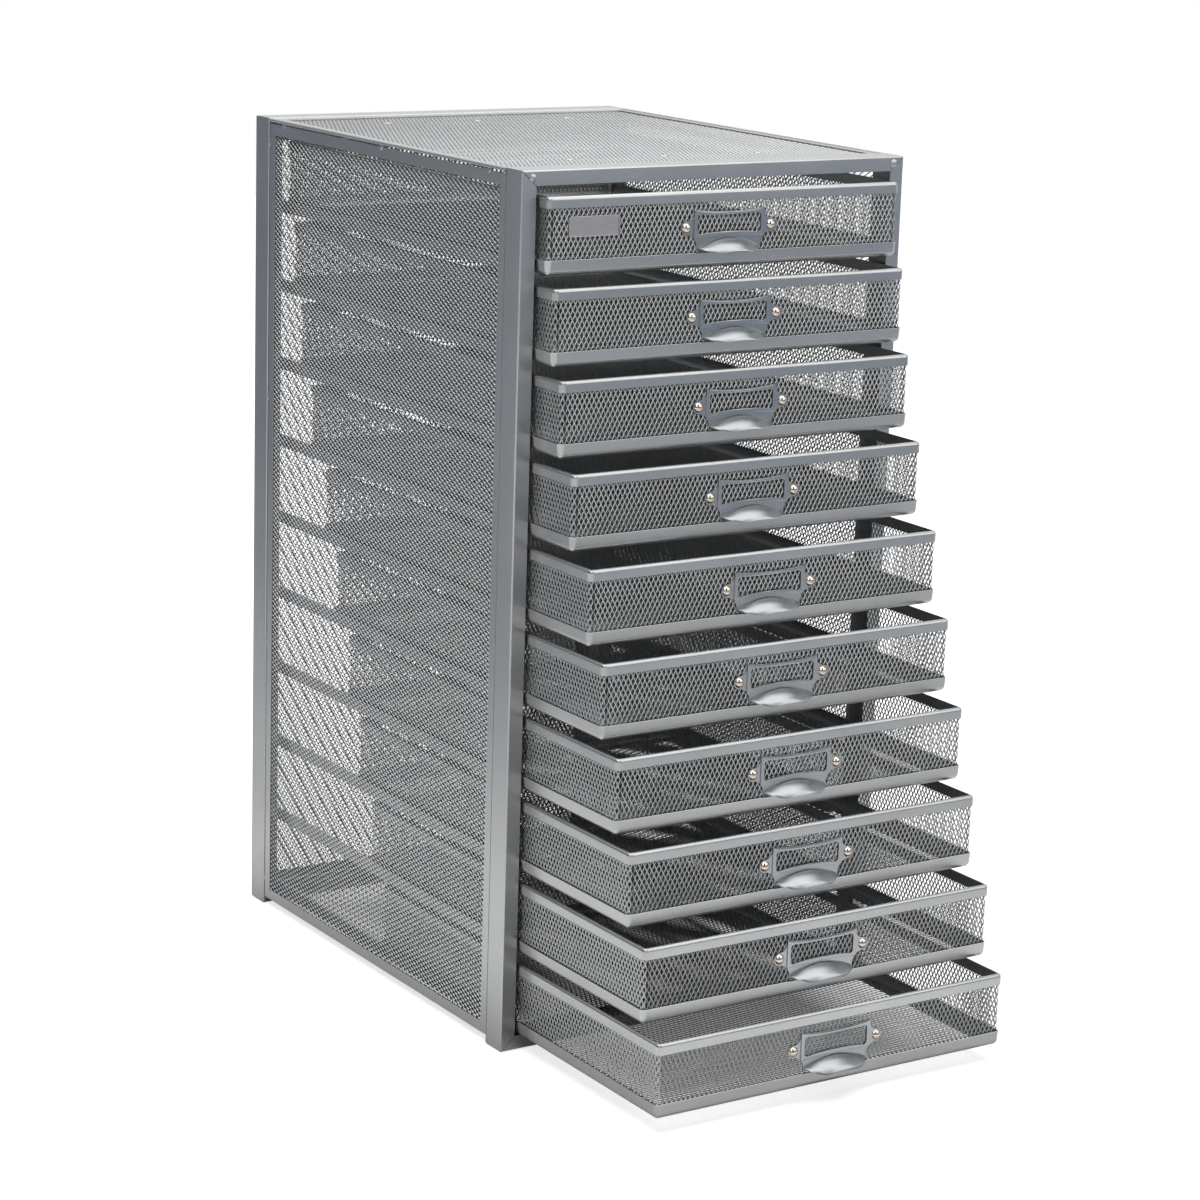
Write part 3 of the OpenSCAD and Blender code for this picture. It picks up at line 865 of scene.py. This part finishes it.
RIVET_X = 31 * MM
RIVET_Z = 24.5 * MM
EAR_RADIUS = 4 * MM
FOOT_HALF = 23.5 * MM
PULL_FOOT = 11.5 * MM
CUP_HALF = 22.5 * MM
CUP_CROWN = 17.5 * MM
CREASE_TOP = CUP_CROWN - 1.2 * MM
CREASE_FOOT = PULL_FOOT + 0.4 * MM
LIP_SAG = 0.9 * MM
LIP_WAVE = 1.1 * MM
LIP_WAVE_AT = 0.55
LIP_WAVE_WIDTH = 0.22
CUP_REACH = 10.6 * MM
CUP_SINK = 0.1 * MM
PLATE_CORNER = 1.5 * MM
PLATE_THICK = 0.6 * MM
PLATE_EDGE = 0.1 * MM
LINE_WIDTH = 0.5 * MM
LINE_THICK = 1.0 * MM
LINE_EDGE = 0.15 * MM


def chord_arc(start, end, centre, steps):
    """Points from start to end along the circle about centre, the short way, without start."""
    radius = math.dist(start, centre)
    first = math.atan2(start[1] - centre[1], start[0] - centre[0])
    turn = math.atan2(end[1] - centre[1], end[0] - centre[0]) - first
    turn = (turn + math.pi) % (2 * math.pi) - math.pi
    return [(centre[0] + radius * math.cos(first + turn * k / steps),
             centre[1] + radius * math.sin(first + turn * k / steps)) for k in range(1, steps + 1)]


def arc_radius(half_chord, rise):
    """Radius of the arc over a chord that rises by rise in its middle."""
    return (half_chord ** 2 + rise ** 2) / (2 * rise)


def pull_half_outline():
    """Right half of the plate's outline, from the middle of its top edge to that of its foot."""
    top_r = arc_radius(HOLDER_HALF, HOLDER_SAG)
    upper = arc_radius(RIVET_X - HOLDER_HALF, HOLDER_TOP - RIVET_Z - EAR_RADIUS)
    lower = arc_radius(RIVET_X - FOOT_HALF, RIVET_Z - EAR_RADIUS - PULL_FOOT)
    crease = arc_radius(CUP_HALF, CREASE_TOP - PULL_FOOT)
    points = [(0, HOLDER_TOP - HOLDER_SAG)]
    points += chord_arc(points[-1], (HOLDER_HALF, HOLDER_TOP),
                        (0, HOLDER_TOP - HOLDER_SAG + top_r), 8)
    points += chord_arc(points[-1], (RIVET_X, RIVET_Z + EAR_RADIUS),
                        (RIVET_X, RIVET_Z + EAR_RADIUS + upper), 6)
    points += chord_arc(points[-1], (RIVET_X + EAR_RADIUS, RIVET_Z), (RIVET_X, RIVET_Z), 6)
    points += chord_arc(points[-1], (RIVET_X, RIVET_Z - EAR_RADIUS), (RIVET_X, RIVET_Z), 6)
    points += chord_arc(points[-1], (FOOT_HALF, PULL_FOOT),
                        (RIVET_X, RIVET_Z - EAR_RADIUS - lower), 7)
    points.append((CUP_HALF, PULL_FOOT))
    points += chord_arc(points[-1], (0, CREASE_TOP), (0, CREASE_TOP - crease), 8)
    return points


def mirrored(half):
    """Whole outline from its right half, whose first and last points are on the middle line."""
    return half + [(-x, z) for x, z in reversed(half[1:-1])]


def window_outline():
    """Window of the label holder: its foot bows up a little in the middle."""
    low, high = WINDOW_FOOT, WINDOW_TOP
    half = HOLDER_HALF - HOLDER_BORDER
    right = [(half * k / 6, high - WINDOW_SAG * (1 - (k / 6) ** 2)) for k in range(5)]
    right += arc(half - WINDOW_RADIUS, high - WINDOW_RADIUS, WINDOW_RADIUS, 75, 0, 4)
    right += arc(half - WINDOW_RADIUS, low + WINDOW_RADIUS, WINDOW_RADIUS, 0, -80, 4)
    right += [(half * k / 6, low + WINDOW_BOW * (1 - (k / 6) ** 2)) for k in (4, 3, 2, 1, 0)]
    return mirrored(right)


def holder_outline():
    """Raised area of the label holder; its foot bows up over the cup."""
    top_r = arc_radius(HOLDER_HALF, HOLDER_SAG)
    half = HOLDER_HALF - HOLDER_STEP[0]
    top, foot = HOLDER_TOP - HOLDER_STEP[1], HOLDER_FOOT
    right = [(0, top - HOLDER_SAG)]
    right += chord_arc(right[-1], (half, top), (0, top - HOLDER_SAG + top_r), 8)
    right += [(half, foot + HOLDER_CHAMFER), (half - HOLDER_CHAMFER, foot)]
    right += [(half * k / 6, foot + HOLDER_BOW * (1 - (k / 6) ** 2)) for k in (5, 4, 3, 2, 1, 0)]
    return mirrored(right)


def cut_sheet(outlines, thickness, edge):
    """Flat sheet in the XZ plane with holes and rounded edges, growing to -Y from y = 0."""
    data = bpy.data.curves.new("sheet", "CURVE")
    data.dimensions = "2D"
    data.fill_mode = "BOTH"
    data.extrude = thickness / 2 - edge
    data.bevel_depth = edge
    data.bevel_resolution = 1
    for outline in outlines:
        spline = data.splines.new("POLY")
        spline.points.add(len(outline) - 1)
        drawn = inset_outline(outline, edge, outline is outlines[0])
        for point, place in zip(spline.points, drawn):
            point.co = (place[0], place[1], 0, 1)
        spline.use_cyclic_u = True
    holder = linked("sheet", data)
    mesh = baked(holder)
    bpy.data.objects.remove(holder)
    mesh.materials.clear()
    return cleaned(moved(mesh, shift((0, -thickness / 2, 0)) @ turned(90, "X")))


def inset_outline(outline, amount, shrink):
    """Outline drawn in (or a hole drawn out) by amount, so that a bevel brings it back to size."""
    area = sum(a[0] * b[1] - b[0] * a[1] for a, b in zip(outline, outline[1:] + outline[:1]))
    way = (1 if area > 0 else -1) * (1 if shrink else -1)
    made = []
    count = len(outline)
    for k, point in enumerate(outline):
        before, after = Vector(outline[k - 1]), Vector(outline[(k + 1) % count])
        here = Vector(point)
        one, two = (here - before).normalized(), (after - here).normalized()
        normal = Vector((-(one.y + two.y), one.x + two.x)).normalized()
        made.append(here + normal * amount * way)
    return made


def cup_point(s, v):
    """Point of the cup's skin: s runs -1 to 1 across it and v 0 to 1 from crease to lip.

    The lip sags by a wave on each side of its middle.
    """
    side = abs(s)
    crease_z = CREASE_FOOT + (CUP_CROWN - CREASE_FOOT) * (1 - side ** 2)
    wave = LIP_WAVE * math.exp(-((side - LIP_WAVE_AT) / LIP_WAVE_WIDTH) ** 2)
    lip_z = PULL_FOOT - LIP_SAG * (1 - side ** 6) - wave
    reach = CUP_REACH * max(1 - side ** 2.3, 0) ** 0.62
    drop = crease_z - lip_z
    out = reach * (1 - (1 - v) ** 1.5)
    fall = drop * v ** 1.1
    x = s * CUP_HALF * (1 - 0.02 * v)
    return Vector((x, -out, crease_z - fall))


def cup_mesh():
    """Finger cup: a thin curved tongue bent out of the plate."""
    across, down = 40, 14
    bm = bmesh.new()
    grid = [[bm.verts.new(cup_point(-1 + 2 * i / across, j / down)) for j in range(down + 1)]
            for i in range(across + 1)]
    for i in range(across):
        for j in range(down):
            bm.faces.new((grid[i][j], grid[i + 1][j], grid[i + 1][j + 1], grid[i][j + 1]))
    mesh = bpy.data.meshes.new("cup")
    bm.to_mesh(mesh)
    bm.free()
    holder = linked("cup", mesh)
    thick = holder.modifiers.new("sheet", "SOLIDIFY")
    thick.thickness = PULL_THICK * 0.8
    thick.offset = -1
    made = baked(holder)
    bpy.data.objects.remove(holder)
    return moved(cleaned(made), shift((0, -PULL_THICK + CUP_SINK, 0)))


def pull_mesh():
    """Whole pull: plate, raised label holder and cup, in a drawer's own frame."""
    plate = cut_sheet([mirrored(pull_half_outline()), window_outline()], PULL_THICK, PULL_EDGE)
    holder = cut_sheet([holder_outline(), window_outline()], HOLDER_PROUD, HOLDER_EDGE)
    return moved(joined([plate, holder, cup_mesh()]), shift((0, PULL_BACK, 0)))


def rivet_meshes():
    """Two rivets with domed heads, a shank and a clenched tail."""
    head_r, head_h, tail_r, shank_r = 3.25 * MM, 2.0 * MM, 2.7 * MM, 1.5 * MM
    dome_r = arc_radius(head_r, head_h)
    top = math.degrees(math.asin(head_r / dome_r))
    front = PULL_BACK - PULL_THICK
    tail_at, tail_end = 1.9 * MM, 2.2 * MM
    profile = [(dome_r * math.sin(math.radians(top * k / 9)),
                front - head_h + dome_r * (1 - math.cos(math.radians(top * k / 9))))
               for k in range(10)]
    profile += [(head_r - 0.2 * MM, front + 0.05 * MM), (shank_r, front + 0.05 * MM),
                (shank_r, tail_at), (tail_r, tail_at), (tail_r, tail_end - 0.1 * MM),
                (tail_r - 0.3 * MM, tail_end)]
    steps = 28
    made = []
    for side in (-1, 1):
        bm = bmesh.new()
        tip = bm.verts.new((side * RIVET_X, profile[0][1], RIVET_Z))
        rings = []
        for radius, y in profile[1:]:
            turns = [2 * math.pi * k / steps for k in range(steps)]
            rings.append([bm.verts.new((side * RIVET_X + radius * math.cos(a), y,
                                        RIVET_Z + radius * math.sin(a))) for a in turns])
        for k in range(steps):
            n = (k + 1) % steps
            bm.faces.new((tip, rings[0][k], rings[0][n]))
            for a, b in zip(rings, rings[1:]):
                bm.faces.new((a[k], b[k], b[n], a[n]))
        bm.faces.new(rings[-1])
        made.append(mesh_from(bm))
    return joined(made)


def name_plate():
    """Blank plate with a thin raised line around it, on the top drawer's front."""
    low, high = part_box("name_plate")
    width, height = high.x - low.x, high.z - low.z
    outline = [(a - width / 2, b - height / 2)
               for a, b in rounded_section(width, height, PLATE_CORNER, 5)]
    edge = LINE_WIDTH
    inner = [(a - width / 2 + edge, b - height / 2 + edge) for a, b in rounded_section(
        width - 2 * edge, height - 2 * edge, PLATE_CORNER - edge, 5)]
    plate = cut_sheet([outline], PLATE_THICK, PLATE_EDGE)
    line = cut_sheet([outline, inner], LINE_THICK, LINE_EDGE)
    mesh = joined([plate, line])
    moved(mesh, shift(((low.x + high.x) / 2, high.y, (low.z + high.z) / 2)))
    new_piece("name_plate_dressed", mesh, "drawer_1", ["name_plate"], NAME_PLATE)


def drawers():
    """Makes each drawer piece once and puts a copy of it in every drawer."""
    kinds = (
        ("basket", basket_mesh(), SHADED_MESH_COAT, "painted_steel", 0),
        ("top_rim", rim_mesh(), COAT, "painted_steel", 35),
        ("bottom_band", band_mesh(), COAT, "painted_steel", 35),
        ("pull", pull_mesh(), PULL_PLATE, "satin_steel", 40),
        ("rivets", rivet_meshes(), NICKEL, "nickel", 40),
    )
    for i in DRAWERS:
        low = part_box(f"drawer_{i}_bottom_band")[0]
        place = shift((0, low.y, low.z))
        for kind, mesh, finish, slot, smooth in kinds:
            node = f"drawer_{i}_{kind}"
            new_piece(f"{node}_dressed", moved(mesh.copy(), place), f"drawer_{i}", [node],
                      finish, smooth)
    for _, mesh, *_ in kinds:
        bpy.data.meshes.remove(mesh)


tube_frame("front_frame", FRONT_LOW, FRONT_HIGH)
tube_frame("rear_frame", REAR_LOW, REAR_HIGH)
side_panels()
top_panel()
bottom_panel()
back_panel()
runners()
drawers()
name_plate()

# ---------------------------------- studio


# The way to the white sweep and the cosines from it at which it starts and is full, then the
# brightness of the rest of the room in reflections and of all of it as light
SWEEP_WAY = (0.5, 0.83, -0.1)
SWEEP_START = 0.15
SWEEP_FULL = 0.6
ROOM_LEVEL = 0.15
FILL_LEVEL = 0.1

# Ground that the cabinet and its open drawers cover: middle in Y, and half sizes
FOOTPRINT_MID = 0.08
FOOTPRINT_HALF = (0.14, 0.25, 9)

# Table top: its place under the cabinet's feet, its own light near them, where the shadow shows,
# and far away, with the distances from the middle at which the change starts and ends
FLOOR_GAP = 0.5 * MM
NEAR_LIFT = 0.7
FAR_LIFT = 1.0
LIFT_START = 0.55
LIFT_END = 1.5

# Share of it that is left under the cabinet, where taking the rest away paints shade, and the
# distances past the covered ground between which it comes back, to the eye and in reflections
UNDER_SHARE = 0.3
SHOWN_EDGE = (-0.06, -0.03)
MIRRORED_EDGE = (-0.01, 0.1)

# The same light in reflections, a painted reflection: bright beside the cabinet (start, end,
# level), dim around it, bright far away
CLOSE_GLOW = (0.3, 0.65, 0.78)
DIM_GLOW = 0.2
WIDE_START_END = (0.95, 1.6)
WIDE_LEVEL = 1.0


def shown_background(tree):
    """1 for camera, glossy and transmission rays, which see the pale background itself."""
    path = add(tree, "ShaderNodeLightPath").outputs
    seen = add(tree, MATH, (path["Is Camera Ray"], path["Is Glossy Ray"]), operation="MAXIMUM")
    return add(tree, MATH, (seen, path["Is Transmission Ray"]), operation="MAXIMUM")


def studio_world():
    """White to the eye; in reflections a white sweep stands behind and a dimmer room in front."""
    world = bpy.data.worlds.new("studio")
    bpy.context.scene.world = world
    tree = emptied(world)
    path = add(tree, "ShaderNodeLightPath").outputs
    way = add(tree, "ShaderNodeTexCoord").outputs["Generated"]
    behind = add(tree, VECTOR_MATH, (way, SWEEP_WAY), operation="DOT_PRODUCT")
    lit = behind.outputs["Value"]
    sweep = add(tree, MAP_RANGE, (lit, SWEEP_START, SWEEP_FULL, ROOM_LEVEL, 1.0))
    bright = add(tree, MATH, (sweep, path["Is Camera Ray"]), operation="MAXIMUM")
    fill = add(tree, "ShaderNodeBackground", (srgb("f0f2f5"), FILL_LEVEL))
    seen = add(tree, "ShaderNodeBackground", ((1, 1, 1, 1), bright))
    mix = add(tree, "ShaderNodeMixShader", (shown_background(tree), fill, seen))
    add(tree, "ShaderNodeOutputWorld", {"Surface": mix})


def studio_floor():
    """Pale table top: white to the eye, with a faint shadow and painted shade under the cabinet,
    where its glow is taken away; in reflections its glow is a painted reflection.
    """
    mesh = bpy.data.meshes.new("table_top")
    half = 4.0
    mesh.from_pydata([(-half, -half, 0), (half, -half, 0), (half, half, 0), (-half, half, 0)],
                     [], [(0, 1, 2, 3)])
    material = bpy.data.materials.new("pale_table_top")
    tree = emptied(material)
    matt = add(tree, "ShaderNodeBsdfDiffuse", {"Color": srgb("e6e6e6")})
    place = add(tree, "ShaderNodeTexCoord").outputs["Object"]
    reach = add(tree, VECTOR_MATH, [place], operation="LENGTH").outputs["Value"]
    shown = add(tree, MAP_RANGE, (reach, LIFT_START, LIFT_END, NEAR_LIFT, FAR_LIFT))
    # The glow that reflections see is a painted reflection: bright beside the cabinet, dim around
    # it, bright far away
    close = add(tree, MAP_RANGE, (reach, *CLOSE_GLOW, DIM_GLOW))
    wide = add(tree, MAP_RANGE, (reach, *WIDE_START_END, DIM_GLOW, WIDE_LEVEL))
    glow = add(tree, MATH, (close, wide), operation="MAXIMUM")
    camera_ray = add(tree, "ShaderNodeLightPath").outputs["Is Camera Ray"]
    strength = add(tree, "ShaderNodeMix", {0: camera_ray, 2: glow, 3: shown}, data_type="FLOAT")
    lift = add(tree, "ShaderNodeEmission", ((1, 1, 1, 1), strength))
    both = add(tree, "ShaderNodeAddShader", (matt, lift))

    # How far past the covered ground a place is, in metres; under it the lift fades, which paints
    # shade under the cabinet and its drawers
    away = add(tree, VECTOR_MATH, (place, (0, FOOTPRINT_MID, 0)), operation="SUBTRACT")
    size = add(tree, VECTOR_MATH, [away], operation="ABSOLUTE")
    past = add(tree, VECTOR_MATH, (size, FOOTPRINT_HALF), operation="SUBTRACT")
    axes = add(tree, "ShaderNodeSeparateXYZ", [past]).outputs
    outside = add(tree, MATH, (axes[0], axes[1]), operation="MAXIMUM")
    mirrored_share = add(tree, MAP_RANGE, (outside, *MIRRORED_EDGE, 0, 1))
    shown_share = add(tree, MAP_RANGE, (outside, *SHOWN_EDGE, UNDER_SHARE, 1))
    clear = add(tree, "ShaderNodeMix", {
        0: camera_ray, 2: mirrored_share, 3: shown_share,
    }, data_type="FLOAT")
    lifted = add(tree, MATH, (shown_background(tree), clear), operation="MULTIPLY")
    mix = add(tree, "ShaderNodeMixShader", (lifted, matt, both))
    add(tree, "ShaderNodeOutputMaterial", {"Surface": mix})
    material.cycles.emission_sampling = "NONE"
    mesh.materials.append(material)
    floor = linked("table_top", mesh)
    floor.location.z = -FLOOR_GAP


def card(name, start, end, low, high, tint, strength):
    """Upright studio card that the metal reflects and the camera doesn't see."""
    mesh = bpy.data.meshes.new(name)
    corners = [(*start, low), (*end, low), (*end, high), (*start, high)]
    mesh.from_pydata(corners, [], [(0, 1, 2, 3)])
    material = bpy.data.materials.new(name)
    tree = emptied(material)
    glow = add(tree, "ShaderNodeEmission", (srgb(tint), strength))
    add(tree, "ShaderNodeOutputMaterial", {"Surface": glow})
    material.cycles.emission_sampling = "NONE"
    mesh.materials.append(material)
    made = linked(name, mesh)
    made.visible_camera = False
    made.visible_shadow = False
    made.visible_diffuse = False


def softbox(name, place, target, size, power):
    """Square area lamp aimed at a point."""
    data = bpy.data.lights.new(name, "AREA")
    data.shape = "SQUARE"
    data.size = size
    data.energy = power
    lamp = linked(name, data)
    lamp.location = place
    lamp.rotation_euler = (Vector(target) - Vector(place)).to_track_quat("-Z", "Y").to_euler()


studio_world()
studio_floor()

# Lamps: place, aim, size, watts. Cards: start and end seen from above, foot, top, tint, strength
softbox("overhead", (0.0, 0.2, 2.2), (0.0, 0.2, 0), 2.9, 58)
softbox("front_left", (-1.5, -1.5, 1.7), (0, 0, 0.3), 1.3, 12)
card("dark_flag", (-0.5, 0.42), (-0.5, 3.0), 0, 0.8, "d6e0ee", 0.4)
card("grey_flag", (0.1, -1.6), (1.7, -0.55), 0, 0.6, "cfdff5", 0.5)
card("white_flag", (0.1, -1.7), (1.8, -0.6), 0.65, 2.3, "ffffff", 2.0)
bpy.context.scene.view_settings.view_transform = "Standard"
